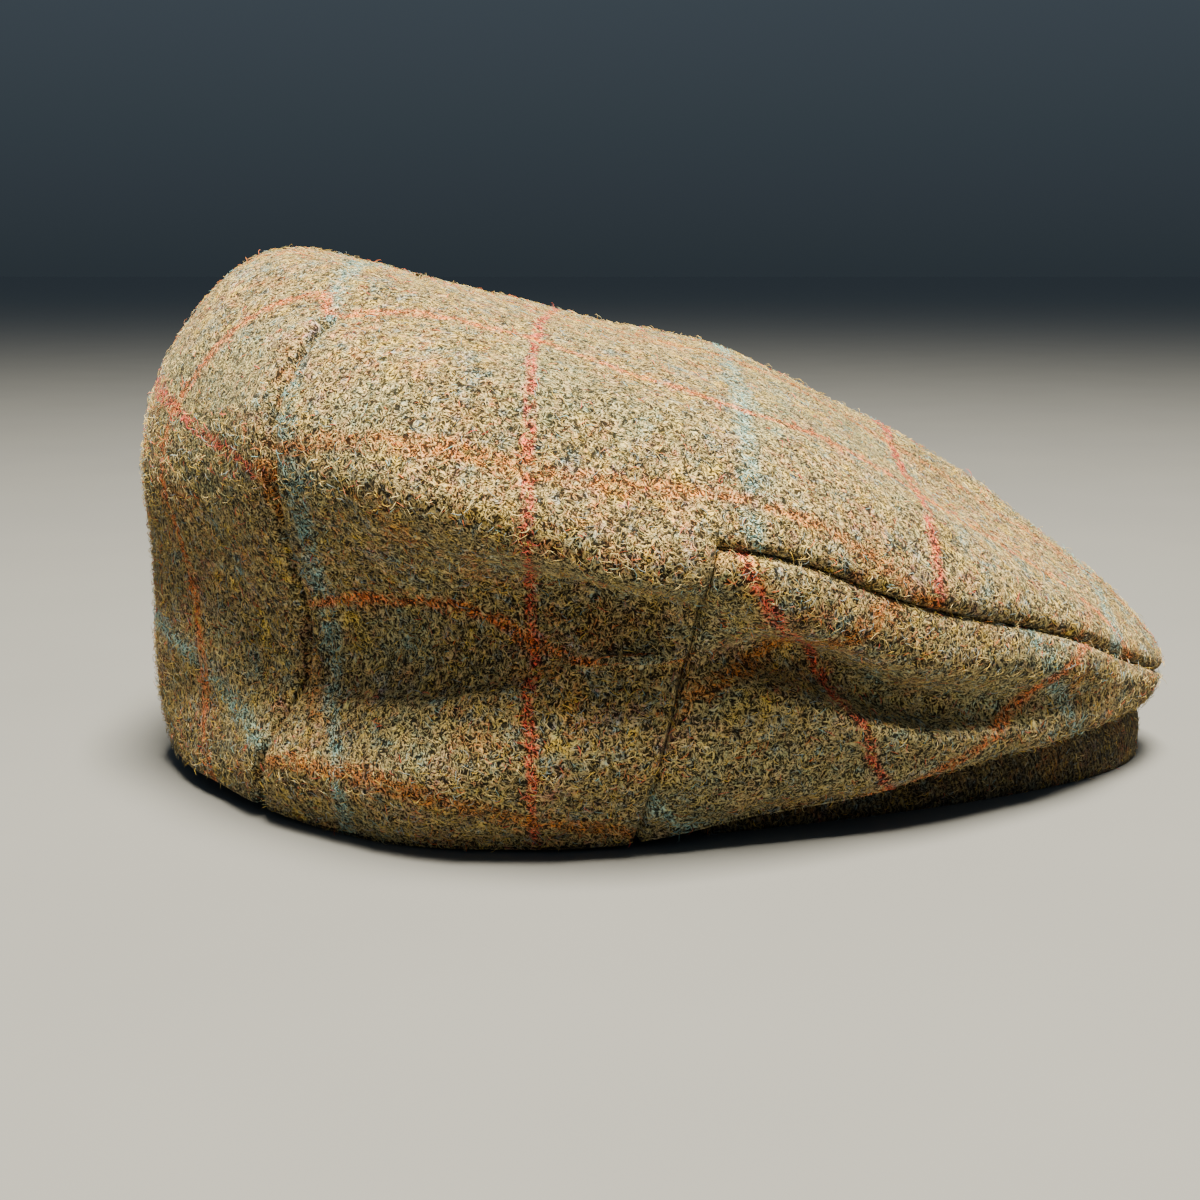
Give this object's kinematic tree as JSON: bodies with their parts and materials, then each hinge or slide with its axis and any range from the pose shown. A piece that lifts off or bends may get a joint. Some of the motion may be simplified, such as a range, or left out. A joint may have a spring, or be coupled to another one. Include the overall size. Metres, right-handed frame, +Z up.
{
  "type": "tweed flat cap",
  "caption": "Soft flat cap of checked tweed, sloping down to a short covered peak, with front side panels and darts at the back.",
  "frame": {"origin": "on the surface that the cap stands on, under the middle of its bounding box", "axes": "+X points ahead, from the back of the cap to the peak; +Y to the wearer's left; +Z up"},
  "size_m": [0.2675, 0.1966, 0.132],
  "materials": {
    "tweed": "brushed wool tweed, olive brown heather with a faint blue, red and rust check",
    "peak_tweed": "the same tweed pulled tight over the stiff peak, in fine ribs"
  },
  "bodies": {
    "root": {"crown": "tweed", "side_panel_right": "tweed", "side_panel_left": "tweed", "peak": "peak_tweed"}
  },
  "joints": []
}
